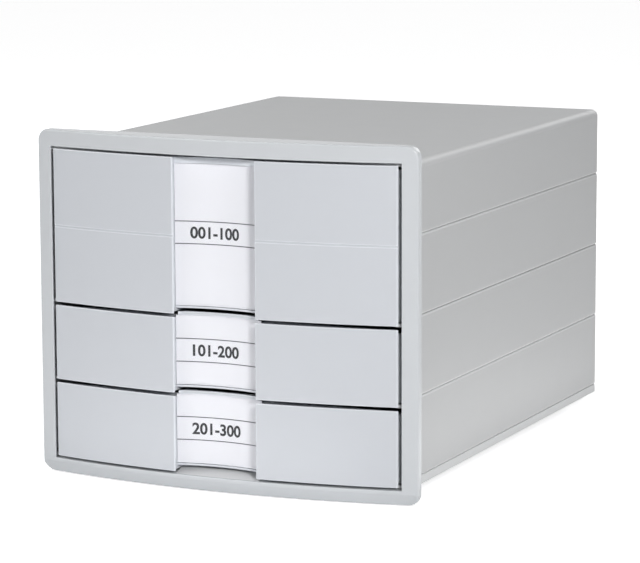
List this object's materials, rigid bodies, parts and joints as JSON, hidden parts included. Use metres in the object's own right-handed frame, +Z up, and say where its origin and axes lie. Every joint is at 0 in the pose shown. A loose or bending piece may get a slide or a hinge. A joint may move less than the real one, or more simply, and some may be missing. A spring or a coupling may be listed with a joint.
{
  "type": "desktop file drawer",
  "caption": "Desktop file drawer box: a stacked plastic housing with a bowed front frame and sliding paper drawers, each with a recessed label column between curved wings.",
  "frame": {"origin": "on the desk, below the middle of the whole box, with the feet's undersides at Z = 0", "axes": "+Z up, +Y from the drawer fronts to the back, +X to the right of someone facing the drawers"},
  "size_m": [0.282, 0.384, 0.2395],
  "materials": {
    "frame_plastic": "light grey moulded plastic with a faint satin sheen",
    "housing_plastic": "light grey moulded plastic with a fine matt grain",
    "front_plastic": "light grey moulded plastic with a faint satin sheen",
    "tray_plastic": "light grey moulded plastic, matt",
    "label_paper": "white paper card with thin printed lines and a plain number",
    "clear_plastic": "clear glossy label cover",
    "foot_rubber": "dark soft rubber"
  },
  "bodies": {
    "housing": {"base_tray": "housing_plastic", "foot_front_left": "foot_rubber", "foot_front_right": "foot_rubber", "foot_rear_left": "foot_rubber", "foot_rear_right": "foot_rubber", "storey_shell_1": "housing_plastic", "storey_shell_2": "housing_plastic", "storey_shell_3": "housing_plastic", "top_cover": "housing_plastic", "front_frame": "frame_plastic"},
    "bottom_drawer": {"bottom_drawer_tray": "tray_plastic", "bottom_drawer_front": "front_plastic", "bottom_drawer_label_card": "label_paper", "bottom_drawer_label_cover": "clear_plastic"},
    "middle_drawer": {"middle_drawer_tray": "tray_plastic", "middle_drawer_front": "front_plastic", "middle_drawer_label_card": "label_paper", "middle_drawer_label_cover": "clear_plastic"},
    "top_drawer": {"top_drawer_tray": "tray_plastic", "top_drawer_front": "front_plastic", "top_drawer_label_card": "label_paper", "top_drawer_label_cover": "clear_plastic"}
  },
  "joints": [
    {"name": "bottom_drawer_slide", "type": "slide", "parent": "housing", "child": "bottom_drawer", "axis": [0, -1, 0], "range_m": [0, 0.25]},
    {"name": "middle_drawer_slide", "type": "slide", "parent": "housing", "child": "middle_drawer", "axis": [0, -1, 0], "range_m": [0, 0.25]},
    {"name": "top_drawer_slide", "type": "slide", "parent": "housing", "child": "top_drawer", "axis": [0, -1, 0], "range_m": [0, 0.25]}
  ]
}
